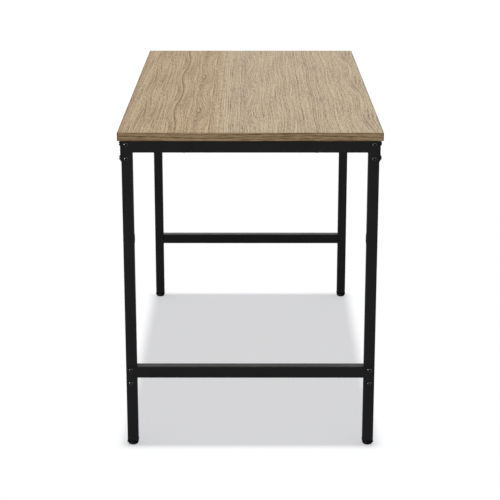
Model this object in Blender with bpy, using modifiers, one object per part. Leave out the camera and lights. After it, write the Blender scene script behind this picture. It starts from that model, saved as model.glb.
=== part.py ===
"""Industrial table desk: a laminated board on a bolted frame of square steel tube, with levelling feet.

Metres, +Z up. The origin is on the floor under the middle of the desk, X runs along its length and
the side where a person sits faces -Y. Every piece is an object of its own. Pieces that touch keep a
hairline between them, FIT.
"""

import math

import bmesh
import bpy
from mathutils import Matrix, Vector

# Driving dimensions
LENGTH = 1.200
DEPTH = 0.600
HEIGHT = 0.760
FIT = 0.0003

# Board
BOARD_THICKNESS = 0.019
BAND_THICKNESS = 0.002
BAND_ROUNDING = 0.0012
GLUE_LINE = 0.0001
OVERHANG = 0.008

# Square steel tube
LEG_SIDE = 0.025
RAIL_DEPTH = 0.025
RAIL_HEIGHT = 0.028
WALL = 0.0015
CORNER_RADIUS = 0.002
STRETCHER_TOP = 0.1995

# Lap plates welded to the ends of every rail
PLATE_THICKNESS = 0.002
PLATE_WIDTH = 0.022
PLATE_HEIGHT = 0.051
PLATE_PROUD = 0.0002
PLATE_LAP = 0.006
PLATE_CORNER = 0.002
PLATE_FILLET = 0.003
PLATE_SETBACK = 0.0007

# M6 x 10 button head bolts
BOLT_DROPS = (0.009, 0.042)
BOLT_OFFSET = 0.0135
BOLT_RADIUS = 0.003
BOLT_LENGTH = 0.010
HEAD_RADIUS = 0.00525
HEAD_HEIGHT = 0.003
SOCKET_FLATS = 0.004
SOCKET_DEPTH = 0.0018
COLLAR_RADIUS = 0.0046
COLLAR_DEPTH = 0.0025

# Screws that hold the board, driven from below through the rails
SCREW_RADIUS = 0.002
SCREW_HEAD_RADIUS = 0.0045
SCREW_HEAD_HEIGHT = 0.0026
SCREW_IN_BOARD = 0.012
END_RAIL_SCREW_Y = 0.150
SIDE_RAIL_SCREW_X = 0.300

# Threaded inserts and levelling feet
FOOT_HEAD_HEIGHT = 0.008
FOOT_TOP_RADIUS = 0.012
FOOT_BASE_RADIUS = 0.007
STUD_RADIUS = 0.004
STUD_LENGTH = 0.026
INSERT_FLANGE_SIDE = 0.0265
INSERT_FLANGE_HEIGHT = 0.003
INSERT_DEPTH = 0.018

# Obround plugs over the slots in the inner sides of the legs
PLUG_Z = 0.508
PLUG_HEIGHT = 0.031
PLUG_WIDTH = 0.014
PLUG_RISE = 0.0013
SLOT_HEIGHT = 0.020
SLOT_WIDTH = 0.008
PLUG_STEM_DEPTH = 0.006

# Round forms
ROUND_STEPS = 16
FOOT_STEPS = 24
ARC_STEPS = 4

# Worked out from the above
BOARD_UNDERSIDE = HEIGHT - BOARD_THICKNESS
LEG_OUT_X = LENGTH / 2 - OVERHANG
LEG_OUT_Y = DEPTH / 2 - OVERHANG
LEG_X = LEG_OUT_X - LEG_SIDE / 2
LEG_Y = LEG_OUT_Y - LEG_SIDE / 2
LEG_IN_X = LEG_OUT_X - LEG_SIDE
LEG_IN_Y = LEG_OUT_Y - LEG_SIDE
LEG_TOP = BOARD_UNDERSIDE - FIT
RAIL_TOP = BOARD_UNDERSIDE - FIT
INSERT_BOTTOM = FOOT_HEAD_HEIGHT + FIT
LEG_BOTTOM = INSERT_BOTTOM + INSERT_FLANGE_HEIGHT + FIT

SIDES = (("left", -1), ("right", 1))
FACES = (("front", -1), ("back", 1))


# Scene set-up

def clear_scene():
    for obj in list(bpy.data.objects):
        bpy.data.objects.remove(obj, do_unlink=True)


def new_collection(name):
    made = bpy.data.collections.new(name)
    bpy.context.scene.collection.children.link(made)
    return made


def new_material(name, colour, roughness, metallic=0.0):
    made = bpy.data.materials.new(name)
    made.use_nodes = True
    shader = made.node_tree.nodes["Principled BSDF"]
    shader.inputs["Base Color"].default_value = (*colour, 1.0)
    shader.inputs["Roughness"].default_value = roughness
    shader.inputs["Metallic"].default_value = metallic
    made.diffuse_color = (*colour, 1.0)
    return made


clear_scene()
DESK = new_collection("industrial_table_desk")
CUTTERS = new_collection("cutters")
LAMINATE = new_material("wood_laminate", (0.46, 0.36, 0.25), 0.55)
EDGE = new_material("wood_edge", (0.30, 0.19, 0.10), 0.5)
STEEL = new_material("black_steel", (0.015, 0.015, 0.016), 0.42)
BLACK_ZINC = new_material("black_bolts", (0.02, 0.02, 0.021), 0.3, 0.7)
PLASTIC = new_material("black_plastic", (0.018, 0.018, 0.018), 0.5)
ZINC = new_material("zinc_screws", (0.62, 0.62, 0.60), 0.35, 1.0)


# Modelling helpers

def add_part(name, mesh, material, place=None):
    """A finished mesh as a named piece of the desk."""
    obj = bpy.data.objects.new(name, mesh)
    DESK.objects.link(obj)
    mesh.materials.clear()
    mesh.materials.append(material)
    if place is not None:
        obj.matrix_world = place
    return obj


def helper(mesh):
    """A guide or cutter: it shows as wire and doesn't render."""
    obj = bpy.data.objects.new("helper", mesh)
    CUTTERS.objects.link(obj)
    obj.hide_render = True
    obj.display_type = "WIRE"
    return obj


def realised(obj, smooth_angle=math.radians(40)):
    """The helper's evaluated mesh, shaded smooth up to an angle. The helper goes."""
    bpy.context.view_layer.update()
    graph = bpy.context.evaluated_depsgraph_get()
    mesh = bpy.data.meshes.new_from_object(obj.evaluated_get(graph))
    mesh.transform(obj.matrix_world)
    bpy.data.objects.remove(obj, do_unlink=True)
    weld = bmesh.new()
    weld.from_mesh(mesh)
    bmesh.ops.remove_doubles(weld, verts=weld.verts, dist=1e-6)
    weld.to_mesh(mesh)
    weld.free()
    mesh.shade_smooth()
    mesh.set_sharp_from_angle(angle=smooth_angle)
    return mesh


def bar_mesh(low, high, rounding=0.0, along=None, steps=ARC_STEPS - 1):
    """A box between two corners. rounding bevels its edges, or only those that run along one axis."""
    low, high = Vector(low), Vector(high)
    shape = bmesh.new()
    bmesh.ops.create_cube(shape, size=1.0)
    for vert in shape.verts:
        vert.co = Vector((low + high) / 2 + vert.co * (high - low))
    if rounding:
        edges = [
            edge
            for edge in shape.edges
            if along is None or abs(edge.verts[0].co[along] - edge.verts[1].co[along]) > 1e-9
        ]
        bmesh.ops.bevel(
            shape, geom=edges, offset=rounding, segments=steps, profile=0.5, affect="EDGES"
        )
    mesh = bpy.data.meshes.new("bar")
    shape.to_mesh(mesh)
    shape.free()
    return mesh


def rod_mesh(start, end, radius, steps=ROUND_STEPS):
    """A cylinder between two points."""
    start, end = Vector(start), Vector(end)
    direction = end - start
    shape = bmesh.new()
    bmesh.ops.create_cone(
        shape,
        cap_ends=True,
        segments=steps,
        radius1=radius,
        radius2=radius,
        depth=direction.length,
        matrix=Matrix.Translation((start + end) / 2) @ direction.to_track_quat("Z", "Y").to_matrix().to_4x4(),
    )
    mesh = bpy.data.meshes.new("rod")
    shape.to_mesh(mesh)
    shape.free()
    return mesh


def turned_mesh(profile, steps=ROUND_STEPS):
    """A profile of (radius, z) points, from its top to its bottom, turned round Z."""
    line = bmesh.new()
    verts = [line.verts.new((radius, 0.0, z)) for radius, z in profile]
    for first, second in zip(verts, verts[1:]):
        line.edges.new((first, second))
    mesh = bpy.data.meshes.new("profile")
    line.to_mesh(mesh)
    line.free()
    obj = helper(mesh)
    screw = obj.modifiers.new("turn", "SCREW")
    screw.steps = steps
    screw.render_steps = steps
    screw.use_merge_vertices = True
    screw.merge_threshold = 1e-6
    return realised(obj)


def arc(centre, radius, start, end, steps=ARC_STEPS):
    """Points on an arc, its two ends among them. Angles are in degrees."""
    angles = [math.radians(start + (end - start) * step / steps) for step in range(steps + 1)]
    return [
        (centre[0] + radius * math.cos(angle), centre[1] + radius * math.sin(angle))
        for angle in angles
    ]


def sheet_mesh(outline, thickness):
    """A flat plate of an outline in XY, centred on z = 0."""
    curve = bpy.data.curves.new("outline", "CURVE")
    curve.dimensions = "2D"
    curve.fill_mode = "BOTH"
    curve.extrude = thickness / 2
    spline = curve.splines.new("POLY")
    spline.points.add(len(outline) - 1)
    for point, (x, y) in zip(spline.points, outline):
        point.co = (x, y, 0.0, 1.0)
    spline.use_cyclic_u = True
    mesh = realised(helper(curve))
    bpy.data.curves.remove(curve)
    return mesh


def combined(mesh, others, operation):
    """mesh with the others joined to it or cut from it, one after another."""
    obj = helper(mesh)
    tools = []
    for other in others:
        tool = helper(other)
        step = obj.modifiers.new("combine", "BOOLEAN")
        step.operation = operation
        step.solver = "EXACT"
        step.object = tool
        tools.append(tool)
    made = realised(obj)
    for tool in tools:
        bpy.data.objects.remove(tool, do_unlink=True)
    return made


def mirrored(mesh, x_sign, y_sign):
    """A copy of the mesh, turned over in X, in Y or in both."""
    made = mesh.copy()
    made.transform(Matrix.Diagonal((x_sign, y_sign, 1, 1)))
    if x_sign * y_sign < 0:
        made.flip_normals()
    return made


def square_tube(low, high, along):
    """A tube with open ends along one axis, between its outer corners."""
    inner_low, inner_high = Vector(low), Vector(high)
    for axis in range(3):
        if axis == along:
            inner_low[axis] -= WALL
            inner_high[axis] += WALL
        else:
            inner_low[axis] += WALL
            inner_high[axis] -= WALL
    outer = bar_mesh(low, high, CORNER_RADIUS, along)
    inner = bar_mesh(inner_low, inner_high, CORNER_RADIUS - WALL, along, steps=1)
    return combined(outer, [inner], "DIFFERENCE")


# Board

def make_board():
    inset = BAND_THICKNESS + GLUE_LINE
    core = bar_mesh(
        (-LENGTH / 2 + inset, -DEPTH / 2 + inset, BOARD_UNDERSIDE),
        (LENGTH / 2 - inset, DEPTH / 2 - inset, HEIGHT),
    )
    pilots = [
        rod_mesh(
            (x, y, BOARD_UNDERSIDE - WALL),
            (x, y, BOARD_UNDERSIDE + SCREW_IN_BOARD + FIT),
            SCREW_RADIUS + FIT,
        )
        for _, x, y in screw_places()
    ]
    add_part("desktop_panel", combined(core, pilots, "DIFFERENCE"), LAMINATE)


def make_edge_bands():
    x_out, y_out = LENGTH / 2, DEPTH / 2
    y_end = y_out - BAND_THICKNESS - GLUE_LINE
    end_band = bar_mesh(
        (x_out - BAND_THICKNESS, -y_end, BOARD_UNDERSIDE), (x_out, y_end, HEIGHT)
    )
    side_band = bar_mesh(
        (-x_out, y_out - BAND_THICKNESS, BOARD_UNDERSIDE), (x_out, y_out, HEIGHT)
    )
    for name, sign in SIDES:
        add_part(f"edge_band_{name}", rounded_band(mirrored(end_band, sign, 1), 0), EDGE)
    for name, sign in FACES:
        add_part(f"edge_band_{name}", rounded_band(mirrored(side_band, 1, sign), 1), EDGE)


def rounded_band(mesh, across):
    """The band with its two long outer edges rounded. across is the axis of its thickness."""
    shape = bmesh.new()
    shape.from_mesh(mesh)
    reach = max(abs(vert.co[across]) for vert in shape.verts)
    edges = [
        edge
        for edge in shape.edges
        if all(abs(abs(vert.co[across]) - reach) < 1e-6 for vert in edge.verts)
        and abs(edge.verts[0].co.z - edge.verts[1].co.z) < 1e-6
    ]
    bmesh.ops.bevel(
        shape, geom=edges, offset=BAND_ROUNDING, segments=3, profile=0.5, affect="EDGES"
    )
    shape.to_mesh(mesh)
    shape.free()
    mesh.shade_smooth()
    mesh.set_sharp_from_angle(angle=math.radians(40))
    return mesh


# Frame

def end_bolt_places(plate_top):
    """(x, y, z) of the bolts at the plate on the right back leg's end face."""
    y = LEG_IN_Y - FIT + BOLT_OFFSET
    return [(LEG_OUT_X, y, plate_top - drop) for drop in BOLT_DROPS]


def side_bolt_places(plate_top):
    """(x, y, z) of the bolts at the plate on the right back leg's side face."""
    x = LEG_IN_X - FIT + BOLT_OFFSET
    return [(x, LEG_OUT_Y, plate_top - drop) for drop in BOLT_DROPS]


def make_legs():
    tube = square_tube(
        (LEG_IN_X, LEG_IN_Y, LEG_BOTTOM), (LEG_OUT_X, LEG_OUT_Y, LEG_TOP), along=2
    )
    end_bolts = end_bolt_places(RAIL_TOP) + end_bolt_places(STRETCHER_TOP)
    side_bolts = side_bolt_places(RAIL_TOP)
    inward = [(Vector(place), Vector((-1, 0, 0))) for place in end_bolts]
    inward += [(Vector(place), Vector((0, -1, 0))) for place in side_bolts]
    collars = [
        rod_mesh(place + way * WALL / 2, place + way * (WALL + COLLAR_DEPTH), COLLAR_RADIUS)
        for place, way in inward
    ]
    bores = [
        rod_mesh(place - way * WALL, place + way * (2 * WALL + COLLAR_DEPTH), BOLT_RADIUS + FIT)
        for place, way in inward
    ]
    slot = obround_mesh(SLOT_WIDTH, SLOT_HEIGHT, 4 * WALL)
    slot.transform(facing_inward(LEG_X, LEG_IN_Y, PLUG_Z))
    leg = combined(tube, collars, "UNION")
    leg = combined(leg, bores + [slot], "DIFFERENCE")
    for side, x_sign in SIDES:
        for face, y_sign in FACES:
            add_part(f"leg_{face}_{side}", mirrored(leg, x_sign, y_sign), STEEL)


def plate_outline():
    """The lap plate: x outward from the rail's end, y up from the rail's top face.

    Its upper part bridges onto the rail, and its lower part hangs as a tongue with a round end.
    """
    radius = PLATE_WIDTH / 2
    outer = FIT + (LEG_SIDE + PLATE_WIDTH) / 2
    inner = outer - PLATE_WIDTH
    round_centre = ((outer + inner) / 2, radius - PLATE_HEIGHT)
    bridge_bottom = PLATE_SETBACK - RAIL_HEIGHT
    points = [(-PLATE_LAP, -PLATE_SETBACK), (-PLATE_LAP, bridge_bottom)]
    points += arc((inner - PLATE_FILLET, bridge_bottom - PLATE_FILLET), PLATE_FILLET, 90, 0)
    points += arc(round_centre, radius, -180, 0, steps=ROUND_STEPS)
    points += arc((outer - PLATE_CORNER, -PLATE_SETBACK - PLATE_CORNER), PLATE_CORNER, 0, 90)
    return points


def plate_mesh():
    """The lap plate with its two bolt holes, in the plane of plate_outline, on z = 0."""
    plate = sheet_mesh(plate_outline(), PLATE_THICKNESS)
    holes = [
        rod_mesh(
            (BOLT_OFFSET, -drop, -PLATE_THICKNESS),
            (BOLT_OFFSET, -drop, PLATE_THICKNESS),
            BOLT_RADIUS + FIT,
        )
        for drop in BOLT_DROPS
    ]
    return combined(plate, holes, "DIFFERENCE")


def rail_mesh(half_length, screw_offset=None):
    """A rail along X with its top face on z = 0 and a lap plate at each end, on its +Y side.

    The rail's outer face is y = 0 less the plate's PLATE_PROUD. screw_offset is the distance of the
    board screws' holes from the middle of the rail.
    """
    tube = square_tube(
        (-half_length, -PLATE_PROUD - RAIL_DEPTH, -RAIL_HEIGHT),
        (half_length, -PLATE_PROUD, 0.0),
        along=0,
    )
    upright = Matrix.Rotation(math.radians(90), 4, "X")
    plate = plate_mesh()
    plate.transform(Matrix.Translation((half_length, -PLATE_THICKNESS / 2, 0.0)) @ upright)
    rail = combined(tube, [plate, mirrored(plate, -1, 1)], "UNION")
    if screw_offset is None:
        return rail
    middle = -PLATE_PROUD - RAIL_DEPTH / 2
    holes = [
        rod_mesh(
            (x, middle, -RAIL_HEIGHT - WALL), (x, middle, WALL), SCREW_RADIUS + FIT
        )
        for x in (-screw_offset, screw_offset)
    ]
    return combined(rail, holes, "DIFFERENCE")


def make_rails():
    plate_out_x = LEG_OUT_X + FIT + PLATE_THICKNESS
    plate_out_y = LEG_OUT_Y + FIT + PLATE_THICKNESS
    turn_to_end = Matrix.Rotation(math.radians(-90), 4, "Z")
    at_end = Matrix.Translation((plate_out_x, 0.0, 0.0)) @ turn_to_end
    end_rail = rail_mesh(LEG_IN_Y - FIT, END_RAIL_SCREW_Y)
    end_rail.transform(Matrix.Translation((0.0, 0.0, RAIL_TOP)) @ at_end)
    stretcher = rail_mesh(LEG_IN_Y - FIT)
    stretcher.transform(Matrix.Translation((0.0, 0.0, STRETCHER_TOP)) @ at_end)
    side_rail = rail_mesh(LEG_IN_X - FIT, SIDE_RAIL_SCREW_X)
    side_rail.transform(Matrix.Translation((0.0, plate_out_y, RAIL_TOP)))
    for side, sign in SIDES:
        add_part(f"end_rail_{side}", mirrored(end_rail, sign, 1), STEEL)
        add_part(f"end_stretcher_{side}", mirrored(stretcher, sign, 1), STEEL)
    for face, sign in FACES:
        add_part(f"side_rail_{face}", mirrored(side_rail, 1, sign), STEEL)


# Fasteners

def bolt_mesh():
    """A button head bolt with its head up and the underside of the head on z = 0."""
    profile = [(0.0, HEAD_HEIGHT), (0.45 * HEAD_RADIUS, HEAD_HEIGHT)]
    profile += [(0.78 * HEAD_RADIUS, 0.72 * HEAD_HEIGHT), (HEAD_RADIUS, 0.25 * HEAD_HEIGHT)]
    profile += [(HEAD_RADIUS, 0.0), (BOLT_RADIUS, 0.0)]
    profile += [(BOLT_RADIUS, BOLT_RADIUS / 4 - BOLT_LENGTH), (0.75 * BOLT_RADIUS, -BOLT_LENGTH)]
    profile += [(0.0, -BOLT_LENGTH)]
    socket = rod_mesh(
        (0.0, 0.0, HEAD_HEIGHT - SOCKET_DEPTH),
        (0.0, 0.0, 2 * HEAD_HEIGHT),
        SOCKET_FLATS / math.sqrt(3),
        steps=6,
    )
    return combined(turned_mesh(profile), [socket], "DIFFERENCE")


def make_bolts():
    bolt = bolt_mesh()
    stand_off = 2 * FIT + PLATE_THICKNESS
    heights = (("upper", 0), ("lower", 1))
    for side, x_sign in SIDES:
        for face, y_sign in FACES:
            for rail, plate_top in (("end_rail", RAIL_TOP), ("end_stretcher", STRETCHER_TOP)):
                places = end_bolt_places(plate_top)
                turn = Matrix.Rotation(math.radians(90 * x_sign), 4, "Y")
                for height, index in heights:
                    x, y, z = places[index]
                    where = Matrix.Translation((x_sign * (x + stand_off), y_sign * y, z))
                    add_part(f"bolt_{rail}_{side}_{face}_{height}", bolt, BLACK_ZINC, where @ turn)
            turn = Matrix.Rotation(math.radians(-90 * y_sign), 4, "X")
            for height, index in heights:
                x, y, z = side_bolt_places(RAIL_TOP)[index]
                where = Matrix.Translation((x_sign * x, y_sign * (y + stand_off), z))
                add_part(f"bolt_side_rail_{face}_{side}_{height}", bolt, BLACK_ZINC, where @ turn)


def screw_places():
    """(name, x, y) of the screws that hold the board."""
    end_x = LEG_OUT_X + FIT + PLATE_THICKNESS - PLATE_PROUD - RAIL_DEPTH / 2
    side_y = LEG_OUT_Y + FIT + PLATE_THICKNESS - PLATE_PROUD - RAIL_DEPTH / 2
    places = []
    for side, x_sign in SIDES:
        for face, y_sign in FACES:
            places.append((f"end_rail_{side}_{face}", x_sign * end_x, y_sign * END_RAIL_SCREW_Y))
            places.append((f"side_rail_{face}_{side}", x_sign * SIDE_RAIL_SCREW_X, y_sign * side_y))
    return places


def make_board_screws():
    """Pan head screws, head down, that run up through both walls of a rail into the board."""
    length = RAIL_HEIGHT + 2 * FIT + SCREW_IN_BOARD
    point = 2 * SCREW_RADIUS
    profile = [(0.0, length), (SCREW_RADIUS, length - point), (SCREW_RADIUS, 0.0)]
    profile += [(SCREW_HEAD_RADIUS, 0.0), (SCREW_HEAD_RADIUS, -SCREW_HEAD_HEIGHT / 2)]
    profile += [(0.6 * SCREW_HEAD_RADIUS, -SCREW_HEAD_HEIGHT), (0.0, -SCREW_HEAD_HEIGHT)]
    screw = turned_mesh(profile)
    head_z = RAIL_TOP - RAIL_HEIGHT - FIT
    for name, x, y in screw_places():
        add_part(f"screw_{name}", screw, ZINC, Matrix.Translation((x, y, head_z)))


# Feet and plugs

def make_inserts():
    """The block pressed into a leg's lower end: a flange under the tube, and a bore for the stud."""
    flange = INSERT_FLANGE_SIDE / 2
    block = LEG_SIDE / 2 - WALL - FIT
    flange_top = INSERT_BOTTOM + INSERT_FLANGE_HEIGHT
    insert = combined(
        bar_mesh(
            (-flange, -flange, INSERT_BOTTOM), (flange, flange, flange_top), CORNER_RADIUS, along=2
        ),
        [
            bar_mesh(
                (-block, -block, INSERT_BOTTOM + WALL),
                (block, block, flange_top + INSERT_DEPTH),
                CORNER_RADIUS / 2,
                steps=1,
            )
        ],
        "UNION",
    )
    bore = rod_mesh((0, 0, 0), (0, 0, flange_top + 2 * INSERT_DEPTH), STUD_RADIUS + FIT)
    insert = combined(insert, [bore], "DIFFERENCE")
    for side, x_sign in SIDES:
        for face, y_sign in FACES:
            place = Matrix.Translation((x_sign * LEG_X, y_sign * LEG_Y, 0.0))
            add_part(f"foot_insert_{face}_{side}", insert, PLASTIC, place)


def make_feet():
    """Levelling feet, each with its origin on its stud's axis and its flat base on the floor."""
    edge = 0.0012
    profile = [(0.0, FOOT_HEAD_HEIGHT + STUD_LENGTH)]
    profile += [(STUD_RADIUS - edge / 2, FOOT_HEAD_HEIGHT + STUD_LENGTH)]
    profile += [(STUD_RADIUS, FOOT_HEAD_HEIGHT + STUD_LENGTH - edge / 2)]
    profile += [(STUD_RADIUS, FOOT_HEAD_HEIGHT), (FOOT_TOP_RADIUS - edge / 2, FOOT_HEAD_HEIGHT)]
    profile += [(FOOT_TOP_RADIUS, FOOT_HEAD_HEIGHT - edge / 2)]
    profile += [(FOOT_TOP_RADIUS, FOOT_HEAD_HEIGHT - 2 * edge)]
    profile += [(FOOT_BASE_RADIUS + edge / 2, edge / 3), (FOOT_BASE_RADIUS, 0.0), (0.0, 0.0)]
    foot = turned_mesh(profile, FOOT_STEPS)
    for side, x_sign in SIDES:
        for face, y_sign in FACES:
            place = Matrix.Translation((x_sign * LEG_X, y_sign * LEG_Y, 0.0))
            add_part(f"levelling_foot_{face}_{side}", foot, PLASTIC, place)


def obround_mesh(width, height, thickness):
    """A flat slug with round ends, standing up along Y and centred on the origin."""
    radius = width / 2
    reach = height / 2 - radius
    outline = arc((0.0, reach), radius, 0, 180, steps=ROUND_STEPS // 2)
    outline += arc((0.0, -reach), radius, 180, 360, steps=ROUND_STEPS // 2)
    return sheet_mesh(outline, thickness)


def facing_inward(x, y, z):
    """Turns a slug made by obround_mesh to face -Y, towards the opposite leg, with its height along Z."""
    return Matrix.Translation((x, y, z)) @ Matrix.Rotation(math.radians(90), 4, "X")


def plug_mesh():
    """The shallow domed cover on z = 0 to PLUG_RISE, with a stem below that fits the slot."""
    layers = ((1.0, 0.0), (0.97, 0.12), (0.82, 0.42), (0.62, 0.70), (0.38, 0.90), (0.15, 1.0))
    radius = PLUG_WIDTH / 2
    reach = PLUG_HEIGHT / 2 - radius
    steps = ROUND_STEPS // 2
    shape = bmesh.new()
    rings = []
    for spread, rise in layers:
        outline = arc((0.0, reach * spread), radius * spread, 0, 180, steps)
        outline += arc((0.0, -reach * spread), radius * spread, 180, 360, steps)
        rings.append([shape.verts.new((x, y, rise * PLUG_RISE)) for x, y in outline])
    for lower, upper in zip(rings, rings[1:]):
        for index in range(len(lower)):
            after = (index + 1) % len(lower)
            shape.faces.new((lower[index], lower[after], upper[after], upper[index]))
    shape.faces.new(rings[-1])
    shape.faces.new(reversed(rings[0]))
    mesh = bpy.data.meshes.new("plug")
    shape.to_mesh(mesh)
    shape.free()
    stem = obround_mesh(SLOT_WIDTH - 2 * FIT, SLOT_HEIGHT - 2 * FIT, PLUG_STEM_DEPTH)
    stem.transform(Matrix.Translation((0.0, 0.0, PLUG_RISE / 3 - PLUG_STEM_DEPTH / 2)))
    return combined(mesh, [stem], "UNION")


def make_plugs():
    plug = plug_mesh()
    plug.transform(facing_inward(LEG_X, LEG_IN_Y - FIT, PLUG_Z))
    for side, x_sign in SIDES:
        for face, y_sign in FACES:
            add_part(f"slot_plug_{face}_{side}", mirrored(plug, x_sign, y_sign), PLASTIC)


make_board()
make_edge_bands()
make_legs()
make_rails()
make_bolts()
make_board_screws()
make_inserts()
make_feet()
make_plugs()
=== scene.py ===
"""Looks of the industrial table desk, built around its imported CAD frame.

Everything is in metres in the frame's own axes: X along the desk, -Y the sitter's side, +Z up. The
camera stands off the +X end. Each piece's place and outer size come from the frame's own boxes.
"""

import math

import bmesh
import bpy
from mathutils import Matrix, Vector


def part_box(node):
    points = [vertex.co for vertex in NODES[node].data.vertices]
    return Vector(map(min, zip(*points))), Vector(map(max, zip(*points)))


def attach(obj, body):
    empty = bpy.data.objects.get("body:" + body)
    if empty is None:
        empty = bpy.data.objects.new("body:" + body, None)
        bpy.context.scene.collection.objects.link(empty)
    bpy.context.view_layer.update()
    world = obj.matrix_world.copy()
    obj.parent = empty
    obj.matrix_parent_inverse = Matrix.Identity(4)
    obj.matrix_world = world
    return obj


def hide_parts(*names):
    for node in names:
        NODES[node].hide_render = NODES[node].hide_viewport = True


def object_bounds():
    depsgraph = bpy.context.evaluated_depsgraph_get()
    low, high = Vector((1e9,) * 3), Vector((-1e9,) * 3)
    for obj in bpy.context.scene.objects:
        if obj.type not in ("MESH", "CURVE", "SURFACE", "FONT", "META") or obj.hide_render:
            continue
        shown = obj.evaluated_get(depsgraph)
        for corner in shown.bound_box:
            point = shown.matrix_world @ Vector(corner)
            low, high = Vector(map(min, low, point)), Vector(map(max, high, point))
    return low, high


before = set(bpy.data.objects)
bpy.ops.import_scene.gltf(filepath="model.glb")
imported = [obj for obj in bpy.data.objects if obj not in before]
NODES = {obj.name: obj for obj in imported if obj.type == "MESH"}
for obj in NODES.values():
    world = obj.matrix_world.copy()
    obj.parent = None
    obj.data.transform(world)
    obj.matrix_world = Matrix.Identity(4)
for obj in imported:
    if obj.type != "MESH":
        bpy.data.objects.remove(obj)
CAD_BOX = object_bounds()
ROOT = "desk_frame"

SIDES = ("left", "right")
FACES = ("front", "back")
CORNERS = [(face, side) for face in FACES for side in SIDES]


# Camera, floor and light

CAMERA_PLACE = (4.0428, 0.0022, 1.4762)
CAMERA_PITCH_DOWN = 16.04
CAMERA_TURN = 90.05
CAMERA_LENS = 112.5
SENSOR_WIDTH = 36.0

DESK_MIDDLE = (CAD_BOX[0] + CAD_BOX[1]) / 2
OVERHEAD_POWER = 1.9
OVERHEAD_ANGLE = 2.8
OVERHEAD_RISE = 6.0
SOFTBOX_SIZE = 0.6
SOFTBOXES = (("softbox_left", (2.3, -3.0, 0.5), 130.0), ("softbox_right", (3.4, 4.8, 1.8), 30.0))

# Brightness of the hall from straight below (0) to straight above (1)
HALL_LEVELS = ((0.0, 0.15), (0.5, 0.22), (0.56, 0.95), (0.72, 1.05), (0.84, 0.25), (1.0, 0.08))

# The floor's own grey as the desk sees it, and its grey and its glow as the camera sees it
FLOOR_BOUNCE = 0.25
FLOOR_SHADE = 0.56
FLOOR_GLOW = (0.444, 0.448, 0.461, 1.0)
FLOOR_RADIUS = 30.0
FLOOR_SEGMENTS = 96
FLOOR_DROP = 0.0002

# The bolts and feet, which alone take the softboxes' light
HARDWARE = bpy.data.collections.new("hardware")


def make_camera():
    data = bpy.data.cameras.new("camera")
    data.lens = CAMERA_LENS
    data.sensor_width = SENSOR_WIDTH
    camera = bpy.data.objects.new("camera", data)
    bpy.context.scene.collection.objects.link(camera)
    camera.location = CAMERA_PLACE
    camera.rotation_euler = (math.radians(90 - CAMERA_PITCH_DOWN), 0.0, math.radians(CAMERA_TURN))
    bpy.context.scene.camera = camera


def aimed(name, data, place):
    """Adds a light that stands at place and points at the middle of the desk."""
    light = bpy.data.objects.new(name, data)
    bpy.context.scene.collection.objects.link(light)
    light.location = place
    light.rotation_euler = (DESK_MIDDLE - Vector(place)).to_track_quat("-Z", "Y").to_euler()
    return light


def make_lights():
    """A distant soft light straight above, whose shadow lies under the desk, and the softboxes."""
    overhead = bpy.data.lights.new("overhead", "SUN")
    overhead.energy = OVERHEAD_POWER
    overhead.angle = math.radians(OVERHEAD_ANGLE)
    aimed("overhead", overhead, DESK_MIDDLE + Vector((0.0, 0.0, OVERHEAD_RISE)))
    for name, place, power in SOFTBOXES:
        box = bpy.data.lights.new(name, "AREA")
        box.size = SOFTBOX_SIZE
        box.energy = power
        softbox = aimed(name, box, place)
        softbox.visible_camera = False
        softbox.light_linking.receiver_collection = HARDWARE


def make_world():
    """White where the camera sees it. As light it is a dim hall with brighter walls than ceiling."""
    world = bpy.data.worlds.new("studio")
    bpy.context.scene.world = world
    world.use_nodes = True
    net = Net(world.node_tree)
    up = net.axes(net.add("ShaderNodeTexCoord").outputs["Generated"])["Z"]
    stops = [(place, (level,) * 3) for place, level in HALL_LEVELS]
    shade = net.ramp(net.span(up, -1.0, 1.0), stops)
    lit = net.add("ShaderNodeBackground", Color=shade)
    seen = net.add("ShaderNodeBackground", Color=(1.0, 1.0, 1.0, 1.0))
    mix = net.add("ShaderNodeMixShader")
    net.link(net.add("ShaderNodeLightPath").outputs["Is Camera Ray"], mix.inputs[0])
    net.link(lit.outputs[0], mix.inputs[1])
    net.link(seen.outputs[0], mix.inputs[2])
    net.link(mix.outputs[0], net.add("ShaderNodeOutputWorld").inputs["Surface"])


def make_floor():
    """A plain floor that the camera sees as white, and the desk as a darker grey."""
    mesh = bpy.data.meshes.new("floor")
    shape = bmesh.new()
    bmesh.ops.create_circle(shape, cap_ends=True, segments=FLOOR_SEGMENTS, radius=FLOOR_RADIUS)
    shape.to_mesh(mesh)
    shape.free()
    floor = bpy.data.objects.new("floor", mesh)
    bpy.context.scene.collection.objects.link(floor)
    floor.location.z = -FLOOR_DROP
    material, net, shader = shaded("studio_floor", {"Roughness": 0.9, "Specular IOR Level": 0.0})
    seen = net.add("ShaderNodeLightPath").outputs["Is Camera Ray"]
    net.link(net.mix(seen, (FLOOR_BOUNCE,) * 3, (FLOOR_SHADE,) * 3), shader.inputs["Base Color"])
    shader.inputs["Emission Color"].default_value = FLOOR_GLOW
    net.link(seen, shader.inputs["Emission Strength"])
    mesh.materials.append(material)


# Node networks

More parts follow.
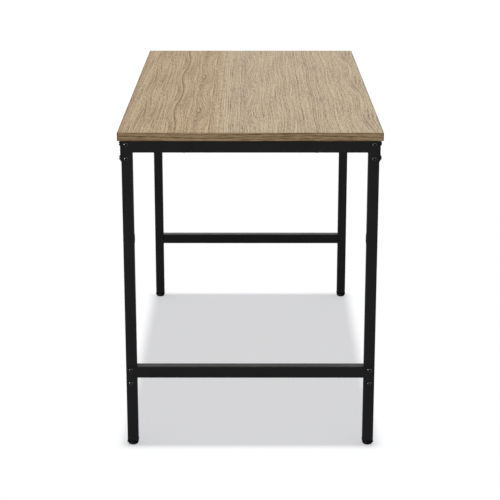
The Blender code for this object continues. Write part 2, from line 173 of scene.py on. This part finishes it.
class Net:
    """Short calls for building a node tree. A value is a node's output or a number."""

    def __init__(self, tree):
        self.tree = tree
        tree.nodes.clear()

    def add(self, kind, **inputs):
        node = self.tree.nodes.new(kind)
        for name, value in inputs.items():
            self.feed(node.inputs[name], value)
        return node

    def feed(self, socket, value):
        if isinstance(value, bpy.types.NodeSocket):
            self.tree.links.new(value, socket)
        else:
            socket.default_value = value

    def link(self, output, socket):
        self.tree.links.new(output, socket)

    def math(self, operation, first, second=0.0):
        node = self.tree.nodes.new("ShaderNodeMath")
        node.operation = operation
        self.feed(node.inputs[0], first)
        self.feed(node.inputs[1], second)
        return node.outputs[0]

    def plus(self, first, second):
        return self.math("ADD", first, second)

    def minus(self, first, second):
        return self.math("SUBTRACT", first, second)

    def times(self, first, second):
        return self.math("MULTIPLY", first, second)

    def absolute(self, value):
        return self.math("ABSOLUTE", value)

    def span(self, value, low, high, to_low=0.0, to_high=1.0):
        """value from low to high, mapped to to_low to to_high and held there."""
        node = self.tree.nodes.new("ShaderNodeMapRange")
        for place, part in enumerate((value, low, high, to_low, to_high)):
            self.feed(node.inputs[place], part)
        return node.outputs[0]

    def noise(self, vector, scale, detail):
        node = self.add("ShaderNodeTexNoise", Vector=vector, Scale=scale, Detail=detail)
        return node.outputs["Fac"]

    def ramp(self, value, stops):
        node = self.tree.nodes.new("ShaderNodeValToRGB")
        self.feed(node.inputs[0], value)
        elements = node.color_ramp.elements
        while len(elements) < len(stops):
            elements.new(0.5)
        for element, (place, colour) in zip(elements, stops):
            element.position = place
            element.color = (*colour, 1.0)
        return node.outputs[0]

    def mix(self, share, first, second, blend="MIX"):
        node = self.tree.nodes.new("ShaderNodeMix")
        node.data_type = "RGBA"
        node.blend_type = blend
        self.feed(node.inputs[0], share)
        for socket, colour in ((node.inputs[6], first), (node.inputs[7], second)):
            self.feed(socket, colour if isinstance(colour, bpy.types.NodeSocket) else (*colour, 1.0))
        return node.outputs[2]

    def tinted(self, share, colour, tint):
        """The colour, multiplied by the tint as far as share says."""
        return self.mix(share, colour, self.mix(1.0, colour, tint, "MULTIPLY"))

    def bump(self, height, strength, distance):
        node = self.add("ShaderNodeBump", Height=height, Strength=strength, Distance=distance)
        return node.outputs["Normal"]

    def vector(self, x, y, z):
        return self.add("ShaderNodeCombineXYZ", X=x, Y=y, Z=z).outputs[0]

    def axes(self, vector):
        """The vector's parts, by the names X, Y and Z."""
        return self.add("ShaderNodeSeparateXYZ", Vector=vector).outputs

    def point(self):
        """The shaded point, in metres in the desk's own axes."""
        return self.add("ShaderNodeTexCoord").outputs["Object"]


def shaded(name, constants):
    """A new material's network and its Principled shader, with the values that are the same all over."""
    material = bpy.data.materials.new(name)
    material.use_nodes = True
    net = Net(material.node_tree)
    shader = net.add("ShaderNodeBsdfPrincipled")
    for socket, value in constants.items():
        shader.inputs[socket].default_value = value
    net.link(shader.outputs[0], net.add("ShaderNodeOutputMaterial").inputs["Surface"])
    return material, net, shader


# Printed wood

# The print comes round again along the board. Its grain lines wander a little all over, and sway more
# in the figures, each given by where it lies across the board, how far it reaches, how far the grain
# sways there, and where along the board it crests.
PRINT_REPEAT = 0.473
WANDER = 0.009
TOP_FIGURES = (
    (-0.250, 0.022, 0.0048, -0.385),
    (-0.177, 0.020, 0.0078, -0.146),
    (-0.114, 0.012, 0.0125, -0.372),
    (0.004, 0.016, 0.0090, -0.140),
    (0.090, 0.030, 0.0022, -0.300),
    (0.160, 0.022, 0.0030, -0.050),
    (0.268, 0.023, 0.0060, -0.060),
)

# Layers of the grain: changes along one repeat, spacing across, and share of the tone. A layer's
# number in this list sets its noise. The last layer is the finest pores.
GRAIN_LAYERS = (
    (20.0, 0.0011, 0.66),
    (5.0, 0.0014, 0.14),
    (0.7, 0.0015, 0.82),
    (0.4, 0.0030, 0.32),
    (0.5, 0.0085, 0.10),
    (0.5, 0.0240, 0.20),
    (50.0, 0.0005, 0.40),
)
LAYER_SHIFT = 3.0

# The print's other noises: changes along one repeat, spacing across, and shift
SLOW_NOISE = (2.5, 0.05, 5.0)
BROAD_NOISE = (1.5, 0.05, 7.0)
VEIN_NOISE = (1.0, 0.024, 14.0)
RING_NOISE = (0.7, 0.018, 21.0)

# Nearly all of a noise's values lie between these.
NOISE_LOW = 0.34
NOISE_HIGH = 0.66

# What is embossed: a layer's number and its height, which is negative for a groove
RELIEF = ((0, -0.4), (1, -1.0), (-1, -0.25))
RELIEF_STRENGTH = 0.5
RELIEF_DEPTH = 0.0005

# Growth rings run through the layers as fine regular lines, and veins as scattered dark ones.
RING_GAP = 0.0056
RING_SHARE = 0.13
RING_DRIFT = 26.0
VEIN_WIDTH = 0.035
VEIN_SHARE = 0.20

# The tone is 0.3 or less where the print is palest, and 1 where it is darkest.
TONE_BASE = 0.83
TONE_GAIN = 0.66
TONE_STOPS = (0.30, 0.74, 1.0)
WOOD_ROUGHNESS = (0.46, 0.6)
TOP_TONES = ((0.600, 0.467, 0.298), (0.345, 0.254, 0.151), (0.122, 0.078, 0.042))
EDGE_TONES = ((0.590, 0.408, 0.224), (0.325, 0.212, 0.106), (0.142, 0.085, 0.040))
EDGE_COARSENESS = 1.3

# The top is warmer and a little darker on the sitter's side, where one long dark vein runs down it.
WARM_EDGE = -0.075
WARM_BLEND = (WARM_EDGE - 0.020, WARM_EDGE + 0.016)
WARM_GAIN = 1.05
WARM_TINT = (0.93, 0.865, 0.75)
COOL_TINT = (0.88, 0.85, 0.92)
LONG_VEIN_PLACE = -0.177
LONG_VEIN_WIDTH = 0.0022
LONG_VEIN_SHARE = 0.50

# The plain brown plastic under the print of the edge bands shows where a band is trimmed: along its
# upper edge, and on the long bands' ends.
BAND_CORE = (0.215, 0.118, 0.037)
TRIM_BLEND = 0.0002
TOP_TRIM = ("Z", CAD_BOX[1].z - 0.0006)
END_TRIM = ("X", CAD_BOX[1].x - 0.0005)


class Grain:
    """The print's grain lines, and noise that follows them.

    run and side are the point's places along and across the grain. field is the same all along one
    grain line.
    """

    def __init__(self, net, run, side, coarse, figures):
        self.net = net
        self.run = run
        self.coarse = coarse
        field = side
        for centre, reach, sway, crest in figures:
            away = net.math("DIVIDE", net.minus(side, centre), reach)
            near = net.math("EXPONENT", net.times(net.times(away, away), -1.0))
            field = net.plus(field, net.times(net.times(near, sway), self.wave(crest)))
        self.around = self.wave(0.0), self.wave(PRINT_REPEAT / 4)
        slow = self.repeating(side, *SLOW_NOISE)
        self.field = net.plus(field, net.times(net.minus(slow, 0.5), WANDER))

    def wave(self, crest):
        """A cosine that is highest at crest, and again every print repeat."""
        turn = self.net.times(self.net.minus(self.run, crest), 2 * math.pi / PRINT_REPEAT)
        return self.net.math("COSINE", turn)

    def repeating(self, across, loops, spacing, shift):
        """Noise that comes round after one print repeat, changing loops times and once every spacing."""
        net = self.net
        radius = loops / (2 * math.pi)
        place = net.vector(
            net.plus(net.times(self.around[0], radius), shift),
            net.times(self.around[1], radius),
            net.math("DIVIDE", across, spacing),
        )
        return net.noise(place, 1.0, 1.0)

    def noise(self, loops, spacing, shift):
        """Noise that is drawn out along the grain lines."""
        return self.repeating(self.field, loops, spacing * self.coarse, shift)

    def rings(self):
        """Regular lines that drift apart and together along the board."""
        phase = self.net.times(self.noise(*RING_NOISE), RING_DRIFT)
        turn = self.net.times(self.field, 2 * math.pi / (RING_GAP * self.coarse))
        return self.net.math("SINE", self.net.plus(turn, phase))

    def veins(self, broad):
        """Lines where a noise crosses its middle, kept where broad is high."""
        ridge = self.net.absolute(self.net.minus(self.noise(*VEIN_NOISE), 0.5))
        line = self.net.span(ridge, 0.0, VEIN_WIDTH, 1.0, 0.0)
        return self.net.times(line, self.net.span(broad, 0.4, 0.6))


def grain_tone(net, grain, layers, broad):
    """How dark the print is, from its layers, rings and veins."""
    tone = TONE_BASE
    for layer, (_, _, share) in zip(layers, GRAIN_LAYERS):
        swing = net.span(layer, NOISE_LOW, NOISE_HIGH, -0.5, 0.5)
        tone = net.plus(tone, net.times(swing, share))
    tone = net.plus(tone, net.times(grain.rings(), RING_SHARE))
    tone = net.plus(tone, net.times(grain.veins(broad), VEIN_SHARE))
    return net.times(tone, TONE_GAIN)


def long_vein(net, grain, broad):
    """The tone of the top's one long vein, fainter in places."""
    away = net.absolute(net.minus(grain.field, LONG_VEIN_PLACE))
    line = net.span(away, 0.0, LONG_VEIN_WIDTH, LONG_VEIN_SHARE, 0.0)
    return net.times(line, net.span(broad, 0.3, 0.6, 0.35, 1.0))


def wood_relief(net, layers):
    """The embossed grain's normal."""
    parts = [net.times(layers[number], height) for number, height in RELIEF]
    relief = parts[0]
    for part in parts[1:]:
        relief = net.plus(relief, part)
    return net.bump(relief, RELIEF_STRENGTH, RELIEF_DEPTH)


def wood_material(name, tones, along, across, coarse=1.0, figures=(), warm_side=False, trims=()):
    """Printed oak laminate with embossed grain. along and across are the axes that lie in its face.

    The plain core shows where the point lies further out along an axis than one of the trims says.
    """
    material, net, shader = shaded(name, {"Specular IOR Level": 0.3})
    axes = net.axes(net.point())
    grain = Grain(net, axes[along], axes[across], coarse, figures)
    layers = [
        grain.noise(loops, spacing, LAYER_SHIFT * number)
        for number, (loops, spacing, _) in enumerate(GRAIN_LAYERS)
    ]
    broad = grain.noise(*BROAD_NOISE)
    tone = grain_tone(net, grain, layers, broad)
    if warm_side:
        warm = net.span(grain.field, *WARM_BLEND, 1.0, 0.0)
        tone = net.times(tone, net.span(warm, 0.0, 1.0, 1.0, WARM_GAIN))
        tone = net.plus(tone, long_vein(net, grain, broad))
    colour = net.ramp(tone, list(zip(TONE_STOPS, tones)))
    if warm_side:
        colour = net.tinted(warm, colour, WARM_TINT)
        cool = net.times(net.span(broad, 0.52, 0.68), net.span(warm, 0.0, 1.0, 0.6, 0.15))
        colour = net.tinted(cool, colour, COOL_TINT)
    for axis, start in trims:
        trimmed = net.span(net.absolute(axes[axis]), start, start + TRIM_BLEND)
        colour = net.mix(trimmed, colour, BAND_CORE)
    net.link(colour, shader.inputs["Base Color"])
    net.link(net.span(tone, 0.2, 1.0, *WOOD_ROUGHNESS), shader.inputs["Roughness"])
    net.link(wood_relief(net, layers), shader.inputs["Normal"])
    return material


# Coated, plated and moulded materials

def mottled(name, constants, cloud, colours, roughness, relief=None):
    """A material whose colour and roughness vary between two values with one noise.

    cloud is that noise's scale and detail. relief is the scale, detail, strength and depth of what is
    embossed.
    """
    material, net, shader = shaded(name, constants)
    point = net.point()
    share = net.noise(point, *cloud)
    net.link(net.mix(share, *colours), shader.inputs["Base Color"])
    net.link(net.span(share, 0.3, 0.7, *roughness), shader.inputs["Roughness"])
    if relief is not None:
        scale, detail, strength, depth = relief
        net.link(net.bump(net.noise(point, scale, detail), strength, depth), shader.inputs["Normal"])
    return material


def steel_material():
    """Satin black powder coat: fine orange peel and a little unevenness in its gloss."""
    return mottled(
        "powder_coat_black",
        {"Specular IOR Level": 0.36},
        cloud=(18.0, 3.0),
        colours=((0.0085, 0.0085, 0.0085), (0.0125, 0.0125, 0.0122)),
        roughness=(0.32, 0.42),
        relief=(900.0, 2.0, 0.3, 0.0003),
    )


def bolt_material():
    """Black zinc plate: a harder, partly metallic gloss than the powder coat's, a little blotched."""
    return mottled(
        "black_zinc",
        {"Metallic": 0.35, "Specular IOR Level": 1.0},
        cloud=(260.0, 3.0),
        colours=((0.014, 0.014, 0.014), (0.026, 0.026, 0.026)),
        roughness=(0.15, 0.22),
        relief=(2400.0, 2.0, 0.1, 0.0001),
    )


def socket_shade_material():
    """The inside of a hex socket: painted shade, a near-black dull colour that stands in for the shade
    that falls deep in the socket.
    """
    return mottled(
        "socket_painted_shade",
        {"Specular IOR Level": 0.1},
        cloud=(900.0, 2.0),
        colours=((0.0015, 0.0015, 0.0015), (0.004, 0.004, 0.004)),
        roughness=(0.7, 0.9),
    )


def plastic_material():
    """Moulded black nylon with a fine spark-eroded grain."""
    return mottled(
        "moulded_nylon_black",
        {"Specular IOR Level": 0.15},
        cloud=(1800.0, 3.0),
        colours=((0.002, 0.002, 0.002), (0.005, 0.005, 0.005)),
        roughness=(0.30, 0.42),
        relief=(1800.0, 3.0, 0.2, 0.0002),
    )


def zinc_material():
    """Bright zinc plate with spangle and a trace of yellow."""
    return mottled(
        "zinc_plate",
        {"Metallic": 1.0},
        cloud=(700.0, 2.0),
        colours=((0.52, 0.51, 0.47), (0.70, 0.69, 0.66)),
        roughness=(0.26, 0.42),
    )


# Modelling helpers

SHARP_ANGLE = 35.0
FLAT_ANGLE = 0.6
SAME_PLACE = 2e-6


def new_piece(name, mesh, material, body, nodes, place=None):
    """A finished mesh that stands for CAD nodes, on their body and with their material slot."""
    obj = bpy.data.objects.new(name, mesh)
    bpy.context.scene.collection.objects.link(obj)
    if not mesh.materials:
        mesh.materials.append(material)
    if place is not None:
        obj.matrix_world = place
    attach(obj, body)
    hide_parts(*nodes)
    return obj


def shade(mesh, sharp_angle=SHARP_ANGLE):
    """Shades a mesh smooth, but for edges sharper than the angle."""
    mesh.shade_smooth()
    mesh.set_sharp_from_angle(angle=math.radians(sharp_angle))


def mesh_of(shape, name, sharp_angle=SHARP_ANGLE):
    """Turns a bmesh into a shaded mesh, and frees it."""
    mesh = bpy.data.meshes.new(name)
    shape.to_mesh(mesh)
    shape.free()
    shade(mesh, sharp_angle)
    return mesh


def soften(obj, width, segments=2):
    """Rounds the sharp edges that a real piece never has."""
    bevel = obj.modifiers.new("soft_edges", "BEVEL")
    bevel.width = width
    bevel.segments = segments
    bevel.limit_method = "ANGLE"
    bevel.angle_limit = math.radians(SHARP_ANGLE)
    bevel.harden_normals = True
    flat = obj.modifiers.new("flat_faces", "WEIGHTED_NORMAL")
    flat.weight = 100
    flat.keep_sharp = True


def whole_faces(node):
    """The CAD node's shape with its triangles joined into whole faces, as a bmesh."""
    shape = bmesh.new()
    shape.from_mesh(NODES[node].data)
    bmesh.ops.remove_doubles(shape, verts=shape.verts, dist=SAME_PLACE)
    bmesh.ops.dissolve_limit(
        shape, angle_limit=math.radians(FLAT_ANGLE), verts=shape.verts, edges=shape.edges
    )
    return shape


def ring_angles(steps):
    return [2 * math.pi * step / steps for step in range(steps)]


def join_rings(shape, rings):
    """Joins rings of corners, from the top one down, with bands of faces. A ring may be one point."""
    for upper, lower in zip(rings, rings[1:]):
        steps = max(len(upper), len(lower))
        for step in range(steps):
            after = (step + 1) % steps
            corners = [upper[step % len(upper)], lower[step % len(lower)]]
            corners += [lower[after % len(lower)], upper[after % len(upper)]]
            shape.faces.new(list(dict.fromkeys(corners)))


def turned(profile, steps, name):
    """A profile of (radius, z) points from top to bottom, turned round Z."""
    shape = bmesh.new()
    rings = []
    for radius, z in profile:
        if radius < 1e-7:
            rings.append([shape.verts.new((0.0, 0.0, z))])
            continue
        points = [(radius * math.cos(a), radius * math.sin(a), z) for a in ring_angles(steps)]
        rings.append([shape.verts.new(point) for point in points])
    join_rings(shape, rings)
    bmesh.ops.recalc_face_normals(shape, faces=shape.faces)
    return mesh_of(shape, name)


def arc_points(centre, radius, start, end, steps):
    """Points on an arc, its ends among them. Angles are in degrees."""
    angles = [math.radians(start + (end - start) * step / steps) for step in range(steps + 1)]
    return [(centre[0] + radius * math.cos(a), centre[1] + radius * math.sin(a)) for a in angles]


def box_mesh(low, high, name):
    shape = bmesh.new()
    bmesh.ops.create_cube(shape, size=1.0)
    low, high = Vector(low), Vector(high)
    for vert in shape.verts:
        vert.co = (low + high) / 2 + Vector(a * b for a, b in zip(vert.co, high - low))
    return mesh_of(shape, name)


def carved(mesh, cutters):
    """The mesh less the cutters."""
    obj = bpy.data.objects.new("carved", mesh)
    bpy.context.scene.collection.objects.link(obj)
    tools = []
    for cutter in cutters:
        tool = bpy.data.objects.new("cutter", cutter)
        bpy.context.scene.collection.objects.link(tool)
        cut = obj.modifiers.new("cut", "BOOLEAN")
        cut.operation = "DIFFERENCE"
        cut.solver = "EXACT"
        cut.object = tool
        tools.append(tool)
    bpy.context.view_layer.update()
    made = bpy.data.meshes.new_from_object(obj.evaluated_get(bpy.context.evaluated_depsgraph_get()))
    for gone in (obj, *tools):
        bpy.data.objects.remove(gone, do_unlink=True)
    shade(made)
    return made


def centre_of(node):
    low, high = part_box(node)
    return (low + high) / 2


# Board

# The board fills the glue's gap to its bands.
GLUE_GAP = 0.0001
BOARD_ROUND = 0.00025
BAND_ROUND = 0.0007


def make_board(laminate, long_edge, short_edge):
    low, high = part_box("desktop_panel")
    grow = Vector((GLUE_GAP, GLUE_GAP, 0.0))
    mesh = box_mesh(low - grow, high + grow, "laminated_board")
    board = new_piece("laminated_board", mesh, laminate, ROOT, ["desktop_panel"])
    soften(board, BOARD_ROUND)
    for name in (*FACES, *SIDES):
        mesh = box_mesh(*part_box(f"edge_band_{name}"), "edging")
        edge = short_edge if name in SIDES else long_edge
        band = new_piece(f"edging_{name}", mesh, edge, ROOT, [f"edge_band_{name}"])
        soften(band, BAND_ROUND, 3)


# Frame

STEEL_ROUND = 0.00035


def make_frame(steel):
    """Legs and rails keep the CAD's shape, with every sharp edge rounded as powder coat rounds it."""
    names = [f"leg_{face}_{side}" for face, side in CORNERS]
    names += [f"{rail}_{side}" for rail in ("end_rail", "end_stretcher") for side in SIDES]
    names += [f"side_rail_{face}" for face in FACES]
    for name in names:
        mesh = mesh_of(whole_faces(name), f"coated_{name}")
        piece = new_piece(f"coated_{name}", mesh, steel, ROOT, [name])
        soften(piece, STEEL_ROUND)


# Bolts

# Heights are from the seat under the head.
HEAD_STEPS = 36
DOME_STEPS = 10
HEAD_HEIGHT = 0.003
HEAD_RIM = 0.0007
HEAD_CHAMFER = 0.0003
SHANK_RADIUS = 0.003
TIP_CHAMFER = 0.0008
SOCKET_RADIUS = 0.0024
SOCKET_FLOOR = -0.0004
SOCKET_POINT = -0.0012
MOUTH_DEPTH = 0.0006
MOUTH_RADIUS = 0.0020
MOUTH_FLARE = 0.0060
CUTTER_TOP = 0.006
BOLT_TURN = 17.0
BOLT_TURNS = 7


def bolt_profile(radius, length):
    """A button head's dome and rim above z = 0, and the shank below it."""
    shares = [math.sin(math.radians(90 * step / DOME_STEPS)) for step in range(DOME_STEPS + 1)]
    dome = HEAD_HEIGHT - HEAD_RIM
    tip = HEAD_HEIGHT - length
    return [
        *((radius * share, HEAD_RIM + dome * math.sqrt(1 - share ** 4)) for share in shares),
        (radius, HEAD_CHAMFER),
        (radius - HEAD_CHAMFER, 0.0),
        (SHANK_RADIUS, 0.0),
        (SHANK_RADIUS, tip + TIP_CHAMFER),
        (0.75 * SHANK_RADIUS, tip),
        (0.0, tip),
    ]


def socket_cutters():
    """A hexagonal hole with a drill point, and the cone that opens its mouth."""
    hexagon = [(0.0, CUTTER_TOP), (SOCKET_RADIUS, CUTTER_TOP)]
    hexagon += [(SOCKET_RADIUS, SOCKET_FLOOR), (0.0, SOCKET_POINT)]
    mouth = HEAD_HEIGHT - MOUTH_DEPTH
    cone = [(0.0, CUTTER_TOP), (MOUTH_FLARE, CUTTER_TOP), (MOUTH_RADIUS, mouth), (0.0, mouth)]
    return [turned(hexagon, 6, "socket"), turned(cone, 24, "mouth")]


def bolt_mesh(node):
    """A button head bolt, head towards +Z, sized from a CAD bolt whose long side is its axis."""
    low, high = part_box(node)
    sizes = sorted(high - low)
    head_radius, length = sizes[0] / 2, sizes[2]
    bolt = turned(bolt_profile(head_radius, length), HEAD_STEPS, "button_head_bolt")
    mesh = carved(bolt, socket_cutters())
    # Faces deep in the hex socket take the second material, which is painted shade
    for face in mesh.polygons:
        near_axis = face.center.xy.length < SOCKET_RADIUS + 0.0001
        in_socket = SOCKET_POINT - 0.0001 < face.center.z < HEAD_HEIGHT - 0.0004
        face.material_index = 1 if near_axis and in_socket else 0
    return mesh


def make_bolts(black):
    """Each bolt has its head on the outer side of the desk, and is turned its own way."""
    names = sorted(name for name in NODES if name.startswith("bolt_"))
    mesh = bolt_mesh(names[0])
    mesh.materials.append(black)
    # The second material paints the shade inside each socket
    mesh.materials.append(socket_shade_material())
    for number, name in enumerate(names):
        low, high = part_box(name)
        size = high - low
        centre = centre_of(name)
        axis = max(range(3), key=lambda index: size[index])
        outward = Vector((0.0, 0.0, 0.0))
        outward[axis] = 1.0 if centre[axis] > 0 else -1.0
        seat = centre + outward * (size[axis] / 2 - HEAD_HEIGHT)
        spin = Matrix.Rotation(math.radians(BOLT_TURN * (number % BOLT_TURNS)), 4, "Z")
        turn = outward.to_track_quat("Z", "Y").to_matrix().to_4x4() @ spin
        bolt = new_piece(
            name.replace("bolt_", "button_head_"), mesh, black, ROOT, [name],
            Matrix.Translation(seat) @ turn,
        )
        HARDWARE.objects.link(bolt)


# Board screws

# The head hangs below its seat, with the cross slot in its lower side.
PAN_HEAD = 0.0026
PAN_DOME = 1.2
SCREW_SHANK = 0.002
SCREW_POINT = 0.004
CROSS_ARM = 0.0024
CROSS_HALF_WIDTH = 0.0005
CROSS_DEPTH = -0.0011
SCREW_TURN = 40.0


def screw_mesh(radius, length):
    """A pan head screw with a cross slot. Its head hangs below z = 0 and its point is up."""
    round_radius = PAN_DOME * radius
    dome = arc_points((0.0, round_radius - PAN_HEAD), round_radius, -90, -34, 8)
    tip = length - PAN_HEAD
    profile = [(0.0, tip), (SCREW_SHANK, tip - SCREW_POINT), (SCREW_SHANK, 0.0), (radius, 0.0)]
    profile += [(x, max(z, -PAN_HEAD)) for x, z in reversed(dome) if x < radius]
    arms = ((CROSS_ARM, CROSS_HALF_WIDTH), (CROSS_HALF_WIDTH, CROSS_ARM))
    blades = [box_mesh((-a, -b, -2 * PAN_HEAD), (a, b, CROSS_DEPTH), "blade") for a, b in arms]
    return carved(turned(profile, 24, "pan_head_screw"), blades)


def make_board_screws(zinc):
    names = sorted(name for name in NODES if name.startswith("screw_"))
    low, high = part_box(names[0])
    mesh = screw_mesh((high.x - low.x) / 2, high.z - low.z)
    mesh.materials.append(zinc)
    for number, name in enumerate(names):
        place = centre_of(name)
        place.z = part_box(name)[0].z + PAN_HEAD
        turn = Matrix.Rotation(math.radians(SCREW_TURN * number), 4, "Z")
        new_piece(
            name.replace("screw_", "pan_head_"), mesh, zinc, ROOT, [name],
            Matrix.Translation(place) @ turn,
        )


# Feet, inserts and plugs

# Heights are from the floor. The pad's rim is chamfered above and round below, down to a flat sole.
PAD_HEIGHT = 0.008
PAD_EDGE = 0.0011
PAD_ROUND = 0.0040
PAD_ROUND_TOP = 0.0042
PAD_SOLE = 0.0066

# The notches deepen from a radius of GRIP_START to the rim.
GRIPS = 12
GRIP_START = 0.008
GRIP_DEPTH = 0.0007
GRIP_SHARPNESS = 6

# The stud starts inside the pad, and tapers over its last rows.
STUD_RADIUS = 0.00395
THREAD_PITCH = 0.00125
THREAD_DEPTH = 0.0006
THREAD_STEPS = 24
THREAD_ROWS = 4
TAPER_ROWS = 6
TAPER_END = 0.55
STUD_ROOT = 0.001
STUD_GAP = 0.0001

# Degrees that a foot is turned for each metre it stands from the desk's middle
FOOT_TURN_X = 90.0
FOOT_TURN_Y = 40.0

INSERT_ROUND = 0.0004
PLUG_ROUND = 0.0001
MOULDED_SHARP_ANGLE = 50.0


def threaded_rod(shape, radius, low, high):
    """Adds a rod with a real helical thread and a tapered upper end."""
    rows = round((high - low) / THREAD_PITCH * THREAD_ROWS)
    rings = []
    for row in range(rows + 1):
        z = low + (high - low) * row / rows
        taper = min(1.0, (rows - row) / TAPER_ROWS + TAPER_END)
        ring = []
        for step, angle in enumerate(ring_angles(THREAD_STEPS)):
            share = (z / THREAD_PITCH - step / THREAD_STEPS) % 1.0
            reach = (radius - THREAD_DEPTH * abs(2 * share - 1)) * taper
            ring.append(shape.verts.new((reach * math.cos(angle), reach * math.sin(angle), z)))
        rings.append(ring)
    for lower, upper in zip(rings, rings[1:]):
        for step in range(THREAD_STEPS):
            after = (step + 1) % THREAD_STEPS
            shape.faces.new((lower[step], lower[after], upper[after], upper[step]))
    shape.faces.new(rings[-1])
    shape.faces.new(list(reversed(rings[0])))


def pad_profile(rim):
    """From the middle of the pad's upper face, round its rim, to the middle of its sole."""
    return [
        (0.0, PAD_HEIGHT),
        (rim - PAD_EDGE, PAD_HEIGHT),
        (rim - 0.0003, PAD_HEIGHT - 0.0004),
        (rim, PAD_HEIGHT - PAD_EDGE),
        (rim, PAD_ROUND_TOP),
        *arc_points((rim - PAD_ROUND, PAD_ROUND_TOP), PAD_ROUND, -8, -78, 6),
        (PAD_SOLE + 0.0004, 0.0001),
        (PAD_SOLE, 0.0),
        (0.0, 0.0),
    ]


def foot_mesh(node):
    """A nylon foot with grip notches round its rim, moulded on a threaded stud. Z = 0 is the floor."""
    low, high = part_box(node)
    rim = (high.x - low.x) / 2
    shape = bmesh.new()
    rings = []
    for radius, z in pad_profile(rim):
        share = max(0.0, (radius - GRIP_START) / (rim - GRIP_START))
        ring = []
        for angle in ring_angles(GRIPS * 6):
            notch = (0.5 + 0.5 * math.cos(GRIPS * angle)) ** GRIP_SHARPNESS
            reach = radius - GRIP_DEPTH * share * notch
            ring.append(shape.verts.new((reach * math.cos(angle), reach * math.sin(angle), z)))
        rings.append(ring)
    join_rings(shape, rings)
    bmesh.ops.remove_doubles(shape, verts=shape.verts, dist=1e-7)
    threaded_rod(shape, STUD_RADIUS, PAD_HEIGHT - STUD_ROOT, high.z - STUD_GAP)
    return mesh_of(shape, "levelling_foot")


def make_feet(nylon):
    """Each foot rides its own body, and is turned its own way."""
    mesh = foot_mesh("levelling_foot_front_left")
    mesh.materials.append(nylon)
    for face, side in CORNERS:
        node = f"levelling_foot_{face}_{side}"
        centre = centre_of(node)
        spin = math.radians(centre.x * FOOT_TURN_X + centre.y * FOOT_TURN_Y)
        foot = new_piece(
            f"foot_{face}_{side}", mesh, nylon, f"foot_{face}_{side}", [node],
            Matrix.Translation((centre.x, centre.y, 0.0)) @ Matrix.Rotation(spin, 4, "Z"),
        )
        HARDWARE.objects.link(foot)


def make_inserts_and_plugs(nylon):
    for face, side in CORNERS:
        for start, width in (("foot_insert", INSERT_ROUND), ("slot_plug", PLUG_ROUND)):
            name = f"{start}_{face}_{side}"
            mesh = mesh_of(whole_faces(name), f"moulded_{name}", MOULDED_SHARP_ANGLE)
            piece = new_piece(f"moulded_{name}", mesh, nylon, ROOT, [name])
            soften(piece, width)


STEEL = steel_material()
NYLON = plastic_material()
make_camera()
make_world()
make_lights()
make_floor()
make_board(
    wood_material("oak_laminate", TOP_TONES, "X", "Y", figures=TOP_FIGURES, warm_side=True),
    wood_material("oak_edge_long", EDGE_TONES, "X", "Z", EDGE_COARSENESS, trims=(TOP_TRIM, END_TRIM)),
    wood_material("oak_edge_short", EDGE_TONES, "Y", "Z", EDGE_COARSENESS, trims=(TOP_TRIM,)),
)
make_frame(STEEL)
make_bolts(bolt_material())
make_board_screws(zinc_material())
make_feet(NYLON)
make_inserts_and_plugs(NYLON)
bpy.context.scene.view_settings.view_transform = "Standard"
